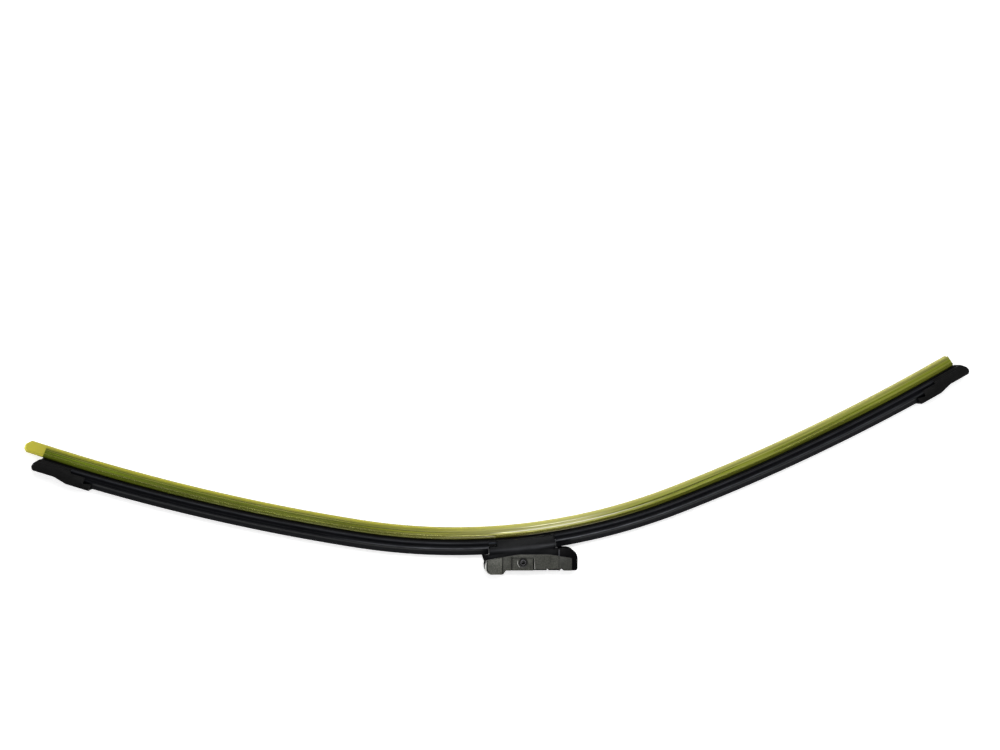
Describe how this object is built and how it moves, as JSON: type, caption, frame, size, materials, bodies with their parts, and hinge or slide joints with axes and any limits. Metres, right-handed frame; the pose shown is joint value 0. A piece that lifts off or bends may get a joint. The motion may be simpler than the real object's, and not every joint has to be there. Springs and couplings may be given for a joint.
{
  "type": "wiper blade",
  "caption": "Long bowed flat wiper blade: black rubber lip and spoiler on spring rails, end caps, clear yellow lip sleeve, and a tilting adapter for a wiper arm.",
  "frame": {"origin": "on the adapter's arm seat, in line with the pivot, at mid-width", "axes": "+X along the arm seat, +Y from the seat towards the glass side of the blade, +Z along the pivot, up from the side that the blade lies on"},
  "size_m": [0.6249, 0.1465, 0.019],
  "materials": {
    "adapter_plastic": "dark grey moulded plastic, matte",
    "core_plastic": "black moulded plastic, matte",
    "base_plastic": "black moulded plastic, satin",
    "rivet_steel": "dark phosphated steel",
    "spring_steel": "bright spring strip",
    "wiper_rubber": "matte black rubber",
    "sleeve_plastic": "clear yellow soft plastic, glossy",
    "spoiler_rubber": "black extruded elastomer, satin",
    "cap_plastic": "black moulded plastic, matte"
  },
  "bodies": {
    "adapter": {"adapter_housing": "adapter_plastic", "adapter_core": "core_plastic"},
    "blade": {"connector_base": "base_plastic", "pivot_rivet": "rivet_steel", "spring_rail_front": "spring_steel", "spring_rail_rear": "spring_steel", "wiper_rubber": "wiper_rubber", "lip_sleeve": "sleeve_plastic", "spoiler_left": "spoiler_rubber", "spoiler_right": "spoiler_rubber", "end_cap_left": "cap_plastic", "end_cap_right": "cap_plastic"}
  },
  "joints": [
    {"name": "blade_pivot", "type": "hinge", "parent": "adapter", "child": "blade", "pos_m": [0, 0.0052, 0], "axis": [0, 0, 1], "range_deg": [-10, 5]}
  ]
}
